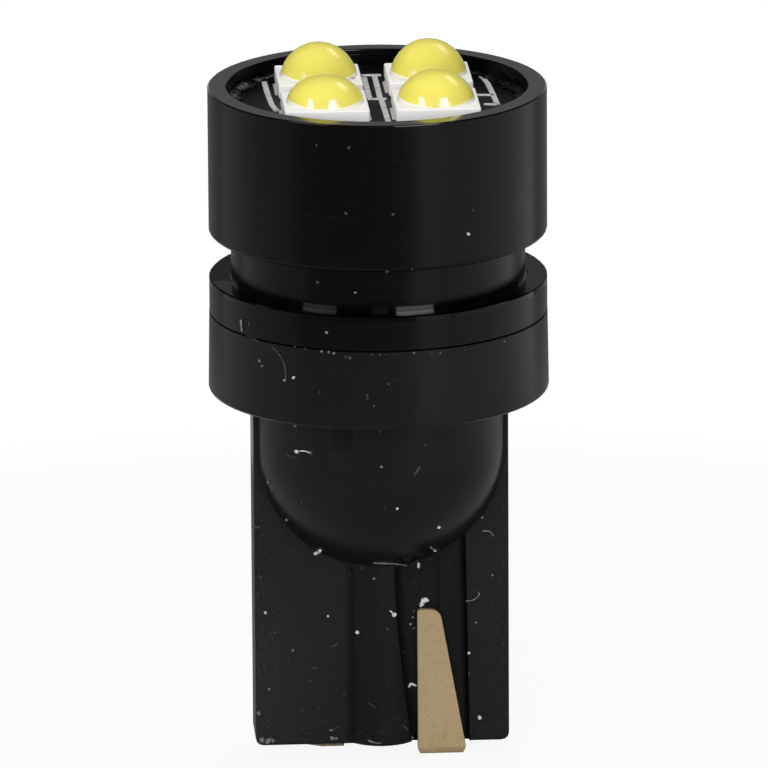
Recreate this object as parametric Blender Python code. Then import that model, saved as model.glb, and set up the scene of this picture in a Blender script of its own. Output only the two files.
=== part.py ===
# Wedge base LED bulb: a turned aluminium head with four domed LEDs on a round
# board, glued to a moulded base whose flat blade carries two folded contacts.
# The bulb stands on its axis, +Z up, with the contact folds at height zero.
# All driving dimensions are in millimetres.

import math

import bmesh
import bpy
from mathutils import Matrix

MM = 0.001

# Main outside diameter, that of the collar's top edge
BODY_DIA = 12.5

# Blade of the moulded base
BLADE_WIDTH = 9.45
BLADE_THICK = 2.2
BLADE_LENGTH = 13.54
BLADE_CORNER_R = 0.28
BLADE_EDGE_R = 0.12
RIB_DIA = 3.2
RIB_EDGE_BREAK = 0.15

# Dome and collar of the moulded base
DOME_DIA = 9.36
DOME_STRAIGHT = 2.13
BASE_WALL = 0.8
COLLAR_DRAFT = 0.045
COLLAR_HEIGHT = 2.96
COLLAR_WALL = 1.02
COLLAR_EDGE_R = 0.15

# Contact strips and the channels that they lie in
CONTACT_THICK = 0.25
CONTACT_FIT = 0.04
CONTACT_DROP = 0.27
CONTACT_HEIGHT = 5.67
CONTACT_INNER_X = 1.31
CONTACT_TIP_WIDTH = 0.85
CONTACT_FOOT_WIDTH = 1.8
CONTACT_BEND_R = 0.06
CONTACT_TIP_R_INNER = 0.12
CONTACT_TIP_R_OUTER = 0.35
CONTACT_FOOT_NARROWING = 0.14
LEG_WIDTH = 0.9
LEG_INSET = 0.05
LEG_ON_BOARD = 1.3
CHANNEL_DEPTH = 0.3
CHANNEL_OUTER_GAP = 0.12
CHANNEL_OUTER_SLANT = 0.2
CHANNEL_TOP_GAP = 0.86
CHANNEL_FOOT_GAP = 0.22
CHANNEL_CURVE = 1.6
WEB_BEHIND_CHANNEL = 0.42
TIP_SLOT_DEPTH = 0.15
TIP_SLOT_INSET = 0.1
TIP_SLOT_LENGTH = 2.3
TIP_SLOT_UNDERLAP = 0.25
NOTCH_DIA = 0.7
NOTCH_FLOOR = 0.3
NOTCH_INSET = 0.4
NOTCH_RISE = 0.7

# Turned head
HEAD_STEP = 0.01
CUP_HEIGHT = 5.49
CUP_EDGE_R = 0.16
GROOVE_HEIGHT = 1.66
GROOVE_DEPTH = 0.81
NECK_CHAMFER = 0.42
FLANGE_HEIGHT = 1.3
FLANGE_EDGE_BREAK = 0.05
RIM_EDGE_BREAK = 0.06
RIM_WALL = 0.73
RIM_DEPTH = 0.63
WEB_THICK = 1.2
SPIGOT_LENGTH = 1.6
SPIGOT_END_GAP = 0.1
SEAM_GAP = 0.04
SEAM_EDGE_BREAK = 0.02
GLUE_LINE = 0.03

# LED board and LEDs
BOARD_THICK = 1.0
BOARD_EDGE_GAP = 0.1
BOND = 0.03
LED_SIZE = 3.1
LED_HEIGHT = 0.53
LED_EDGE_R = 0.06
LED_PITCH = 4.06
LENS_MARGIN = 0.13
LENS_HEIGHT = 1.205
LENS_FOOT = 0.05
LENS_SEAT_DEPTH = 0.05
LENS_FIT = 0.02

# Driver board, its pins and its parts
DRIVER_THICK = 0.8
DRIVER_FIT = 0.08
DRIVER_TOP_GAP = 1.3
DRIVER_BOTTOM_RISE = 1.35
DRIVER_FOOT_HALF = 2.5
PIN_DIA = 0.5
PIN_SPACING = 5.08
PIN_FIT = 0.05
PIN_DEPTH = 1.8
PIN_WEB_HOLE = 1.3
PIN_PROUD = 0.3
PIN_TIP_TAPER = 0.1
PART_BOND = 0.03
PART_SPACING = 0.5
LEAD_THICK = 0.15
LEAD_WIDTH_SHARE = 0.32
PACKAGE_EDGE_BREAK = 0.17
CAP_PROUD = 0.04
CAP_SHARE = 0.17

# Electronic parts on the driver board
RECTIFIER_LENGTH = 3.9
RECTIFIER_WIDTH = 4.7
RECTIFIER_HEIGHT = 1.4
RECTIFIER_SPAN = 6.2
RECTIFIER_PITCH = 2.54
REGULATOR_LENGTH = 4.9
REGULATOR_WIDTH = 3.9
REGULATOR_HEIGHT = 1.4
REGULATOR_SPAN = 6.0
REGULATOR_PITCH = 1.27
LOAD_RESISTOR_LENGTH = 3.2
LOAD_RESISTOR_WIDTH = 1.6
LOAD_RESISTOR_HEIGHT = 0.55
SENSE_RESISTOR_LENGTH = 2.0
SENSE_RESISTOR_WIDTH = 1.2
SENSE_RESISTOR_HEIGHT = 0.5
CAPACITOR_LENGTH = 3.2
CAPACITOR_WIDTH = 1.6
CAPACITOR_HEIGHT = 1.2

# How far a cutting shape runs past the face that it cuts
OVERRUN = 1.0

# Facets round a full turn
SEGMENTS = 64
LENS_SEGMENTS = 32
RIB_SEGMENTS = 32
HOLE_SEGMENTS = 20
PIN_SEGMENTS = 16

# Heights and radii worked out from the dimensions above
half_blade = BLADE_THICK / 2
blade_bottom = CONTACT_THICK + CONTACT_DROP
collar_bottom = blade_bottom + BLADE_LENGTH
collar_top = collar_bottom + COLLAR_HEIGHT
dome_r = DOME_DIA / 2
dome_centre = collar_bottom - DOME_STRAIGHT
cavity_r = dome_r - BASE_WALL
collar_r = BODY_DIA / 2
socket_r = collar_r - COLLAR_WALL
spigot_r = socket_r - GLUE_LINE
flange_bottom = collar_top + SEAM_GAP
flange_top = flange_bottom + FLANGE_HEIGHT
cup_bottom = flange_top + GROOVE_HEIGHT
rim_top = cup_bottom + CUP_HEIGHT
head_r = collar_r - HEAD_STEP
neck_r = head_r - GROOVE_DEPTH
board_top = rim_top - RIM_DEPTH
board_bottom = board_top - BOARD_THICK
cup_floor = board_bottom - BOND
bore_top = cup_floor - WEB_THICK
spigot_bottom = flange_bottom - SPIGOT_LENGTH
led_bottom = board_top + BOND
led_top = led_bottom + LED_HEIGHT
driver_face = DRIVER_THICK / 2
driver_top = bore_top - DRIVER_TOP_GAP
driver_bottom = dome_centre - cavity_r + DRIVER_BOTTOM_RISE
driver_half = math.sqrt(cavity_r ** 2 - driver_face ** 2) - DRIVER_FIT
channel_floor = half_blade - CHANNEL_DEPTH
channel_outer_x = CONTACT_INNER_X + CONTACT_FOOT_WIDTH + CHANNEL_OUTER_GAP
channel_top_x = CONTACT_INNER_X - CHANNEL_TOP_GAP
channel_foot_x = CONTACT_INNER_X - CHANNEL_FOOT_GAP

# Depths of the contact's inner leg, measured along Y from the axis
leg_outer = -channel_floor + WEB_BEHIND_CHANNEL + CONTACT_FIT
leg_inner = leg_outer + CONTACT_THICK


def clear_scene():
    for obj in list(bpy.data.objects):
        bpy.data.objects.remove(obj, do_unlink=True)


def principled(name, color, roughness, metallic=0.0):
    mat = bpy.data.materials.new(name)
    mat.use_nodes = True
    shader = mat.node_tree.nodes["Principled BSDF"]
    shader.inputs["Base Color"].default_value = (*color, 1.0)
    shader.inputs["Roughness"].default_value = roughness
    shader.inputs["Metallic"].default_value = metallic
    return mat


def arc(centre, radius, start, end, steps):
    """Points along an arc in a plane, angles in degrees."""
    points = []
    for i in range(steps + 1):
        a = math.radians(start + (end - start) * i / steps)
        points.append((centre[0] + radius * math.cos(a), centre[1] + radius * math.sin(a)))
    return points


def finish_mesh(bm, name, mat, smooth_angle=None):
    """Scale to metres, point the faces outwards and make the object."""
    bmesh.ops.scale(bm, vec=(MM, MM, MM), verts=bm.verts)
    bmesh.ops.recalc_face_normals(bm, faces=bm.faces)
    mesh = bpy.data.meshes.new(name)
    bm.to_mesh(mesh)
    bm.free()
    if smooth_angle is not None:
        mesh.shade_smooth()
        mesh.set_sharp_from_angle(angle=math.radians(smooth_angle))
    obj = bpy.data.objects.new(name, mesh)
    bpy.context.collection.objects.link(obj)
    if mat is not None:
        mesh.materials.append(mat)
    return obj


def turned(name, profile, mat, steps=SEGMENTS, closed=False):
    """Spin a profile of (radius, height) points about the Z axis."""
    bm = bmesh.new()
    verts = [bm.verts.new((r, 0, z)) for r, z in profile]
    edges = [bm.edges.new(pair) for pair in zip(verts, verts[1:])]
    if closed:
        edges.append(bm.edges.new((verts[-1], verts[0])))
    bmesh.ops.spin(bm, geom=verts + edges, cent=(0, 0, 0), axis=(0, 0, 1),
                   angle=2 * math.pi, steps=steps, use_merge=True)
    bmesh.ops.remove_doubles(bm, verts=bm.verts, dist=1e-4)
    return finish_mesh(bm, name, mat, smooth_angle=30)


def prism(name, outline, low, high, axis, mat):
    """Extrude an outline: across Y from (x, z) points, or up Z from (x, y) points."""
    bm = bmesh.new()
    if axis == "Y":
        base = [bm.verts.new((x, low, z)) for x, z in outline]
    else:
        base = [bm.verts.new((x, y, low)) for x, y in outline]
    face = bm.faces.new(base)
    swept = bmesh.ops.extrude_face_region(bm, geom=[face])
    moved = [v for v in swept["geom"] if isinstance(v, bmesh.types.BMVert)]
    step = (0, high - low, 0) if axis == "Y" else (0, 0, high - low)
    bmesh.ops.translate(bm, vec=step, verts=moved)
    return finish_mesh(bm, name, mat, smooth_angle=30)


def rectangle(x0, x1, z0, z1):
    return [(x0, z0), (x1, z0), (x1, z1), (x0, z1)]


def round_cutter(name, radius, low, high):
    """A plain round shape that runs past both faces that it cuts."""
    return turned(name, [(0, low - OVERRUN), (radius, low - OVERRUN), (radius, high + OVERRUN),
                         (0, high + OVERRUN)], None, HOLE_SEGMENTS)


def bevel(obj, width, segments=2, angle=50):
    mod = obj.modifiers.new("edges", "BEVEL")
    mod.width = width * MM
    mod.segments = segments
    mod.limit_method = "ANGLE"
    mod.angle_limit = math.radians(angle)
    return mod


def combine(target, other, operation):
    """Cut or join with another shape, which is then only a guide."""
    mod = target.modifiers.new(operation.lower(), "BOOLEAN")
    mod.operation = operation
    mod.object = other
    mod.solver = "EXACT"
    other.hide_render = True
    other.display_type = "WIRE"


def half_turn(obj, name):
    """A second copy of a guide or a piece, turned half way round the axis."""
    twin = bpy.data.objects.new(name, obj.data)
    twin.rotation_euler = (0, 0, math.pi)
    bpy.context.collection.objects.link(twin)
    for mod in obj.modifiers:
        bevel(twin, mod.width / MM, mod.segments, math.degrees(mod.angle_limit))
    return twin


def make_head(mat):
    """One turning: cup with a rim, neck, flange and the spigot under it."""
    rim_in = head_r - RIM_WALL
    chamfer = min(NECK_CHAMFER, GROOVE_DEPTH - FLANGE_EDGE_BREAK, GROOVE_HEIGHT / 2)
    profile = [(0, cup_floor), (rim_in, cup_floor), (rim_in, rim_top - RIM_EDGE_BREAK)]
    profile += [(rim_in + RIM_EDGE_BREAK, rim_top), (head_r - RIM_EDGE_BREAK, rim_top)]
    profile += [(head_r, rim_top - RIM_EDGE_BREAK)]
    profile += arc((head_r - CUP_EDGE_R, cup_bottom + CUP_EDGE_R), CUP_EDGE_R, 0, -90, 3)
    profile += [(neck_r, cup_bottom), (neck_r, flange_top + chamfer), (neck_r + chamfer, flange_top)]
    profile += [(head_r - FLANGE_EDGE_BREAK, flange_top), (head_r, flange_top - FLANGE_EDGE_BREAK)]
    profile += [(head_r, flange_bottom + SEAM_EDGE_BREAK), (head_r - SEAM_EDGE_BREAK, flange_bottom)]
    profile += [(spigot_r, flange_bottom), (spigot_r, spigot_bottom + RIM_EDGE_BREAK)]
    profile += [(spigot_r - RIM_EDGE_BREAK, spigot_bottom), (cavity_r, spigot_bottom)]
    profile += [(cavity_r, bore_top), (0, bore_top)]
    head = turned("head_shell", profile, mat)
    for side in (-1, 1):
        hole = round_cutter("pin_hole_guide", PIN_WEB_HOLE / 2, bore_top, cup_floor)
        hole.location.x = side * PIN_SPACING / 2 * MM
        combine(head, hole, "DIFFERENCE")
    return head


def channel_edge(height):
    """Distance of the channel's inner wall from the axis at a height."""
    top = dome_centre - dome_r
    share = (top - height) / (top - blade_bottom)
    share = min(1.0, max(0.0, share))
    return channel_top_x + (channel_foot_x - channel_top_x) * share ** CHANNEL_CURVE


def make_base(mat):
    """One moulding: blade with its central rib, round-ended dome and collar."""
    half = BLADE_WIDTH / 2
    inside = collar_bottom + COLLAR_HEIGHT / 4
    outline = arc((-half + BLADE_CORNER_R, blade_bottom + BLADE_CORNER_R), BLADE_CORNER_R, 180, 270, 3)
    outline += arc((half - BLADE_CORNER_R, blade_bottom + BLADE_CORNER_R), BLADE_CORNER_R, 270, 360, 3)
    outline += [(half, inside), (-half, inside)]
    base = prism("base_shell", outline, -half_blade, half_blade, "Y", mat)
    bevel(base, BLADE_EDGE_R)

    rib_r = RIB_DIA / 2
    rib = turned("rib_guide", [(0, blade_bottom), (rib_r - RIB_EDGE_BREAK, blade_bottom),
                               (rib_r, blade_bottom + RIB_EDGE_BREAK), (rib_r, dome_centre), (0, dome_centre)],
                 None, RIB_SEGMENTS)
    combine(base, rib, "UNION")

    below = blade_bottom - OVERRUN
    steps = 10
    heights = [blade_bottom + (dome_centre - dome_r - blade_bottom) * i / steps for i in range(steps + 1)]
    outline = [(channel_foot_x, below), (channel_outer_x, below), (channel_outer_x, blade_bottom)]
    outline += [(channel_outer_x - CHANNEL_OUTER_SLANT, dome_centre), (channel_top_x, dome_centre)]
    outline += [(channel_edge(z), z) for z in reversed(heights)]
    channel = prism("channel_guide", outline, -half_blade - RIB_DIA, -channel_floor, "Y", None)
    combine(base, channel, "DIFFERENCE")
    combine(base, half_turn(channel, "channel_guide_back"), "DIFFERENCE")

    bottom_r = collar_r + COLLAR_DRAFT
    profile = arc((0, dome_centre), dome_r, -90, 0, 14)
    profile[0] = (0, profile[0][1])
    profile += [(dome_r, collar_bottom), (bottom_r - COLLAR_EDGE_R, collar_bottom)]
    profile += arc((bottom_r - COLLAR_EDGE_R, collar_bottom + COLLAR_EDGE_R), COLLAR_EDGE_R, -90, 0, 3)[1:]
    profile += [(collar_r, collar_top - SEAM_EDGE_BREAK), (collar_r - SEAM_EDGE_BREAK, collar_top)]
    profile += [(0, collar_top)]
    combine(base, turned("dome_guide", profile, None), "UNION")

    tip = CONTACT_HEIGHT - TIP_SLOT_UNDERLAP
    slot = prism("tip_slot_guide",
                 rectangle(CONTACT_INNER_X + TIP_SLOT_INSET, CONTACT_INNER_X + CONTACT_TIP_WIDTH,
                           tip, tip + TIP_SLOT_LENGTH),
                 -half_blade - RIB_DIA, -channel_floor + TIP_SLOT_DEPTH, "Y", None)
    pocket = half_blade + NOTCH_FLOOR
    notch = turned("notch_guide", [(0, pocket), (NOTCH_DIA / 2, pocket),
                                   (NOTCH_DIA / 2, half_blade + RIB_DIA), (0, half_blade + RIB_DIA)],
                   None, HOLE_SEGMENTS)
    notch.data.transform(Matrix.Rotation(math.pi / 2, 4, "X"))
    notch_x = CONTACT_INNER_X - NOTCH_INSET
    notch_z = dome_centre - dome_r + NOTCH_RISE
    notch.data.transform(Matrix.Translation((notch_x * MM, 0, notch_z * MM)))
    leg = prism("leg_slot_guide",
                rectangle(CONTACT_INNER_X + LEG_INSET - CONTACT_FIT,
                          CONTACT_INNER_X + LEG_INSET + LEG_WIDTH + CONTACT_FIT, below, dome_centre),
                leg_outer - CONTACT_FIT, leg_inner + CONTACT_FIT, "Y", None)
    for guide in (slot, notch, leg):
        combine(base, guide, "DIFFERENCE")
        combine(base, half_turn(guide, guide.name + "_back"), "DIFFERENCE")

    ledge = spigot_bottom - SPIGOT_END_GAP
    profile = arc((0, dome_centre), cavity_r, -90, 0, 9)
    profile[0] = (0, profile[0][1])
    above = collar_top + OVERRUN
    profile += [(cavity_r, ledge), (socket_r, ledge), (socket_r, above), (0, above)]
    combine(base, turned("cavity_guide", profile, None), "DIFFERENCE")
    return base


def contact_path():
    """Stations along the strip: middle (y, z), outward normal, inner and outer x."""
    half = CONTACT_THICK / 2
    bend = CONTACT_BEND_R + half
    front = -channel_floor - CONTACT_FIT - half
    back = leg_outer + half
    tip_x = CONTACT_INNER_X + CONTACT_TIP_WIDTH
    foot_x = CONTACT_INNER_X + CONTACT_FOOT_WIDTH
    leg_x0 = CONTACT_INNER_X + LEG_INSET
    leg_x1 = leg_x0 + LEG_WIDTH
    low = half + bend
    stations = []

    def outer_edge(z):
        return foot_x + (tip_x - foot_x) * (z - low) / (CONTACT_HEIGHT - low)

    drops = [CONTACT_TIP_R_OUTER * (1 - math.cos(math.radians(a))) for a in range(0, 91, 15)]
    for drop in drops:
        z = CONTACT_HEIGHT - drop
        r_in, r_out = CONTACT_TIP_R_INNER, CONTACT_TIP_R_OUTER
        cut_in = r_in - math.sqrt(max(0.0, r_in ** 2 - max(0.0, r_in - drop) ** 2))
        cut_out = r_out - math.sqrt(max(0.0, r_out ** 2 - (r_out - drop) ** 2))
        stations.append((front, z, (-1, 0), CONTACT_INNER_X + cut_in, outer_edge(z) - cut_out))
    near_foot = low + CONTACT_FOOT_WIDTH / 4
    stations.append((front, near_foot, (-1, 0), CONTACT_INNER_X, outer_edge(near_foot)))
    narrow = CONTACT_FOOT_NARROWING
    for a in (0, 30, 60, 90):
        share = a / 90
        normal = (-math.cos(math.radians(a)), -math.sin(math.radians(a)))
        stations.append((front + bend + bend * normal[0], low + bend * normal[1], normal,
                         CONTACT_INNER_X + narrow * share, foot_x - narrow * share))
    for a in (90, 60, 30, 0):
        normal = (math.cos(math.radians(a)), -math.sin(math.radians(a)))
        stations.append((back - bend + bend * normal[0], low + bend * normal[1], normal, leg_x0, leg_x1))
    # The leg rises through the blade, steps out and lies on the driver board
    pad = -driver_face - CONTACT_FIT - half
    jog_top = driver_bottom - CONTACT_FIT
    jog_low = jog_top + (pad - back)
    tilt = math.sqrt(0.5)
    stations.append((back, jog_low, (math.cos(math.pi / 8), -math.sin(math.pi / 8)), leg_x0, leg_x1))
    stations.append(((back + pad) / 2, (jog_low + jog_top) / 2, (tilt, tilt), leg_x0, leg_x1))
    stations.append((pad, jog_top, (math.cos(math.pi / 8), math.sin(math.pi / 8)), leg_x0, leg_x1))
    stations.append((pad, driver_bottom + LEG_ON_BOARD, (1, 0), leg_x0, leg_x1))
    return stations


def make_contact(name, mat):
    """A strip of even thickness, swept along its folded path."""
    half = CONTACT_THICK / 2
    bm = bmesh.new()
    rings = []
    for y, z, (ny, nz), x0, x1 in contact_path():
        out = (y + ny * half, z + nz * half)
        back = (y - ny * half, z - nz * half)
        corners = ((x0, *out), (x1, *out), (x1, *back), (x0, *back))
        rings.append([bm.verts.new(corner) for corner in corners])
    for ring, following in zip(rings, rings[1:]):
        for i in range(4):
            j = (i + 1) % 4
            bm.faces.new((ring[i], ring[j], following[j], following[i]))
    bm.faces.new(rings[0])
    bm.faces.new(rings[-1])
    return finish_mesh(bm, name, mat, smooth_angle=40)


def make_led_board(mat):
    radius = head_r - RIM_WALL - BOARD_EDGE_GAP
    board = turned("led_board", [(0, board_bottom), (radius, board_bottom), (radius, board_top),
                                 (0, board_top)], mat)
    for side in (-1, 1):
        hole = round_cutter("board_hole_guide", PIN_DIA / 2 + PIN_FIT, board_bottom, board_top)
        hole.location.x = side * PIN_SPACING / 2 * MM
        combine(board, hole, "DIFFERENCE")
    return board


def make_leds(body_mat, lens_mat):
    """Four packages on a square pitch, each with a moulded lens seated on it."""
    half = LED_SIZE / 2
    seat = led_top - LENS_SEAT_DEPTH
    foot_r = half - LENS_MARGIN
    rise = led_top + LENS_HEIGHT - (seat + LENS_FIT + LENS_FOOT)
    sphere_r = (foot_r ** 2 + rise ** 2) / (2 * rise)
    top = led_top + LENS_HEIGHT
    spread = math.degrees(math.asin(min(1.0, foot_r / sphere_r)))
    profile = [(0, seat + LENS_FIT), (foot_r, seat + LENS_FIT)]
    cap = arc((0, top - sphere_r), sphere_r, 90 - spread, 90, 8)
    cap[-1] = (0, top)
    profile += cap
    index = 0
    for sy in (1, -1):
        for sx in (-1, 1):
            index += 1
            spot = (sx * LED_PITCH / 2 * MM, sy * LED_PITCH / 2 * MM, 0)
            body = prism("led_body_%d" % index, rectangle(-half, half, -half, half),
                         led_bottom, led_top, "Z", body_mat)
            body.location = spot
            bevel(body, LED_EDGE_R)
            seat_guide = turned("seat_guide", [(0, seat), (foot_r + LENS_FIT, seat),
                                               (foot_r + LENS_FIT, led_top + OVERRUN),
                                               (0, led_top + OVERRUN)], None, LENS_SEGMENTS)
            seat_guide.location = spot
            combine(body, seat_guide, "DIFFERENCE")
            lens = turned("led_lens_%d" % index, profile, lens_mat, LENS_SEGMENTS)
            lens.location = spot


def make_driver_board(mat):
    """Upright board across the bore, narrowed at the foot, notched for the pins."""
    pin_x = PIN_SPACING / 2
    notch = PIN_DIA / 2 + PIN_FIT
    low = driver_top - PIN_DEPTH
    outline = [(-DRIVER_FOOT_HALF, driver_bottom), (DRIVER_FOOT_HALF, driver_bottom)]
    outline += [(driver_half, dome_centre), (driver_half, driver_top)]
    for x in (pin_x, -pin_x):
        outline += [(x + notch, driver_top), (x + notch, low), (x - notch, low), (x - notch, driver_top)]
    outline += [(-driver_half, driver_top), (-driver_half, dome_centre)]
    return prism("driver_board", outline, -driver_face, driver_face, "Y", mat)


def make_pins(mat):
    """Two feed pins from the driver board's notches up through the LED board."""
    tip = PIN_TIP_TAPER
    low = driver_top - PIN_DEPTH + PIN_FIT
    top = board_top + PIN_PROUD
    r = PIN_DIA / 2
    for side, label in ((-1, "left"), (1, "right")):
        pin = turned("feed_pin_" + label, [(0, low), (r, low), (r, top - tip), (r - tip, top), (0, top)],
                     mat, PIN_SEGMENTS)
        pin.location.x = side * PIN_SPACING / 2 * MM


def chip_part(name, height_at, length, width, height, side, body_mat):
    """A chip resistor or capacitor: ceramic block with proud end caps, on one face."""
    cap = length * CAP_SHARE
    near = driver_face + PART_BOND
    block = prism(name, rectangle((cap - length) / 2, (length - cap) / 2,
                                  height_at - width / 2 + CAP_PROUD, height_at + width / 2 - CAP_PROUD),
                  near + CAP_PROUD, near + height - CAP_PROUD, "Y", body_mat)
    for left in (-length / 2, length / 2 - cap):
        band = prism(name + "_cap_guide",
                     rectangle(left, left + cap, height_at - width / 2, height_at + width / 2),
                     near, near + height, "Y", None)
        combine(block, band, "UNION")
    if side < 0:
        face_front(block)
    return block


def face_front(obj):
    """Turn a piece built on the back face half way round, with its guides."""
    pieces = [obj] + [mod.object for mod in obj.modifiers if mod.type == "BOOLEAN"]
    for piece in pieces:
        piece.rotation_euler = (0, 0, math.pi)


def add_lead(name, path, low, high, along_x):
    """A gull-wing lead: its side outline, drawn outward from the body, given a width."""
    bm = bmesh.new()
    rings = []
    for across in (low, high):
        if along_x:
            rings.append([bm.verts.new((u, y, across)) for u, y in path])
        else:
            rings.append([bm.verts.new((across, y, u)) for u, y in path])
    for a in range(len(path)):
        b = (a + 1) % len(path)
        bm.faces.new((rings[0][a], rings[0][b], rings[1][b], rings[1][a]))
    bm.faces.new(rings[0])
    bm.faces.new(rings[1])
    return finish_mesh(bm, name + "_lead_guide", None)


def leaded_part(name, height_at, length, width, height, span, pitch, count, side, mat, along_x):
    """A moulded package with gull-wing leads on two sides."""
    near = driver_face + PART_BOND
    block = prism(name, rectangle(-length / 2, length / 2, height_at - width / 2, height_at + width / 2),
                  near + LEAD_THICK, near + LEAD_THICK + height, "Y", mat)
    bevel(block, PACKAGE_EDGE_BREAK, 1)
    lead_w = pitch * LEAD_WIDTH_SHARE
    mid = near + LEAD_THICK + height / 2
    shin = span / 2 - LEAD_THICK * 3
    inside = (length if along_x else width) / 2 - LEAD_THICK * 2
    for i in range(count):
        offset = (i - (count - 1) / 2) * pitch + (height_at if along_x else 0)
        base = 0 if along_x else height_at
        for end in (-1, 1):
            path = [(inside, mid), (shin, mid), (shin, near), (span / 2, near),
                    (span / 2, near + LEAD_THICK), (shin + LEAD_THICK, near + LEAD_THICK),
                    (shin + LEAD_THICK, mid + LEAD_THICK), (inside, mid + LEAD_THICK)]
            path = [(base + end * u, y) for u, y in path]
            lead = add_lead(name, path, offset - lead_w / 2, offset + lead_w / 2, along_x)
            combine(block, lead, "UNION")
    if side < 0:
        face_front(block)
    return block


def make_driver_parts(chip_mat, ceramic_mat, resistor_mat):
    """The electronics, stacked up both faces of the driver board from its foot."""
    row = driver_bottom + LEG_ON_BOARD + PART_SPACING + LOAD_RESISTOR_WIDTH / 2
    after_row = row + LOAD_RESISTOR_WIDTH / 2 + PART_SPACING
    for name, side in (("load_resistor_1", -1), ("load_resistor_2", 1)):
        chip_part(name, row, LOAD_RESISTOR_LENGTH, LOAD_RESISTOR_WIDTH, LOAD_RESISTOR_HEIGHT,
                  side, resistor_mat)

    rectifier_z = after_row + RECTIFIER_WIDTH / 2
    leaded_part("bridge_rectifier", rectifier_z, RECTIFIER_LENGTH, RECTIFIER_WIDTH, RECTIFIER_HEIGHT,
                RECTIFIER_SPAN, RECTIFIER_PITCH, 2, -1, chip_mat, True)
    capacitor_z = rectifier_z + RECTIFIER_WIDTH / 2 + PART_SPACING + CAPACITOR_WIDTH / 2
    chip_part("filter_capacitor", capacitor_z, CAPACITOR_LENGTH, CAPACITOR_WIDTH, CAPACITOR_HEIGHT,
              -1, ceramic_mat)

    regulator_z = after_row + REGULATOR_SPAN / 2
    leaded_part("regulator_chip", regulator_z, REGULATOR_LENGTH, REGULATOR_WIDTH, REGULATOR_HEIGHT,
                REGULATOR_SPAN, REGULATOR_PITCH, 4, 1, chip_mat, False)
    sense_z = regulator_z + REGULATOR_SPAN / 2 + PART_SPACING + SENSE_RESISTOR_WIDTH / 2
    chip_part("sense_resistor", sense_z, SENSE_RESISTOR_LENGTH, SENSE_RESISTOR_WIDTH,
              SENSE_RESISTOR_HEIGHT, 1, resistor_mat)


def main():
    clear_scene()
    make_head(principled("anodised_black", (0.018, 0.018, 0.02), 0.32, 0.6))
    make_base(principled("black_plastic", (0.02, 0.02, 0.022), 0.45))
    tin = principled("tinned_brass", (0.46, 0.39, 0.28), 0.4, 0.8)
    make_contact("contact_front", tin)
    half_turn(bpy.data.objects["contact_front"], "contact_back")
    make_led_board(principled("board_black", (0.02, 0.02, 0.022), 0.4))
    make_leds(principled("led_white", (0.85, 0.85, 0.83), 0.5), principled("led_yellow", (0.95, 0.85, 0.2), 0.2))
    make_driver_board(principled("board_green", (0.05, 0.2, 0.09), 0.5))
    make_pins(principled("pin_metal", (0.7, 0.68, 0.62), 0.3, 1.0))
    make_driver_parts(principled("chip_black", (0.03, 0.03, 0.03), 0.6),
                      principled("ceramic_tan", (0.45, 0.33, 0.2), 0.5),
                      principled("resistor_black", (0.04, 0.04, 0.045), 0.5))


main()
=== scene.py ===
import math

import bmesh
import bpy
from mathutils import Matrix, Vector, noise
from mathutils.bvhtree import BVHTree


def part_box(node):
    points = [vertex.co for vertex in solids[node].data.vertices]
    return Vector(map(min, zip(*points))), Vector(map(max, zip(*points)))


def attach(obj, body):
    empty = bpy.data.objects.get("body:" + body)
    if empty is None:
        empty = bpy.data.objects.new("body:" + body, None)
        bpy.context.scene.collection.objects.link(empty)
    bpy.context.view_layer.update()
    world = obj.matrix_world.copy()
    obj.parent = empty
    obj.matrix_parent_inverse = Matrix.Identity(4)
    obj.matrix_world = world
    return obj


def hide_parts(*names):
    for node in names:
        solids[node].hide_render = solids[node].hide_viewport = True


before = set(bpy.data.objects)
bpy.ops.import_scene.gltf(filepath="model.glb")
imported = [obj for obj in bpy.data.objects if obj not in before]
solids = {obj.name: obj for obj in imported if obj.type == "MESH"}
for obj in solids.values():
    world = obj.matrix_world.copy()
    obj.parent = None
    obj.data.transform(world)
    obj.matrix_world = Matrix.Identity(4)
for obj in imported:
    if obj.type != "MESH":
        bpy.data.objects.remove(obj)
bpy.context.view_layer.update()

mm = 0.001


def boxInMm(name):
    low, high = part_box(name)
    return low / mm, high / mm


class Signal:
    # wraps a socket, so that an expression on it adds Math nodes
    def __init__(self, tree, socket):
        self.tree = tree
        self.socket = socket

    def node(self, kind, settings=None, sockets=None, output=0):
        made = self.tree.nodes.new(kind)
        for name, value in (settings or {}).items():
            setattr(made, name, value)
        for key, value in (sockets or {}).items():
            if isinstance(value, Signal):
                self.tree.links.new(value.socket, made.inputs[key])
            else:
                made.inputs[key].default_value = value
        return Signal(self.tree, made.outputs[output] if made.outputs else None)

    def maths(self, operation, first, second=0.0):
        return self.node("ShaderNodeMath", {"operation": operation}, {0: first, 1: second})

    def __add__(self, other):
        return self.maths("ADD", self, other)

    def __radd__(self, other):
        return self.maths("ADD", other, self)

    def __sub__(self, other):
        return self.maths("SUBTRACT", self, other)

    def __rsub__(self, other):
        return self.maths("SUBTRACT", other, self)

    def __mul__(self, other):
        return self.maths("MULTIPLY", self, other)

    def __rmul__(self, other):
        return self.maths("MULTIPLY", other, self)

    def __gt__(self, other):
        return self.maths("GREATER_THAN", self, other)

    def __lt__(self, other):
        return self.maths("LESS_THAN", self, other)


def rising(value, low, high):
    # 0 below low, 1 above high, smooth between
    return value.node("ShaderNodeMapRange", {"interpolation_type": "SMOOTHSTEP"}, {0: value, 1: low, 2: high})


def larger(first, second):
    return first.maths("MAXIMUM", first, second)


def absolute(value):
    return value.maths("ABSOLUTE", value)


def axes(at):
    split = at.node("ShaderNodeSeparateXYZ", None, {0: at})
    return [Signal(at.tree, split.socket.node.outputs[i]) for i in range(3)]


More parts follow.
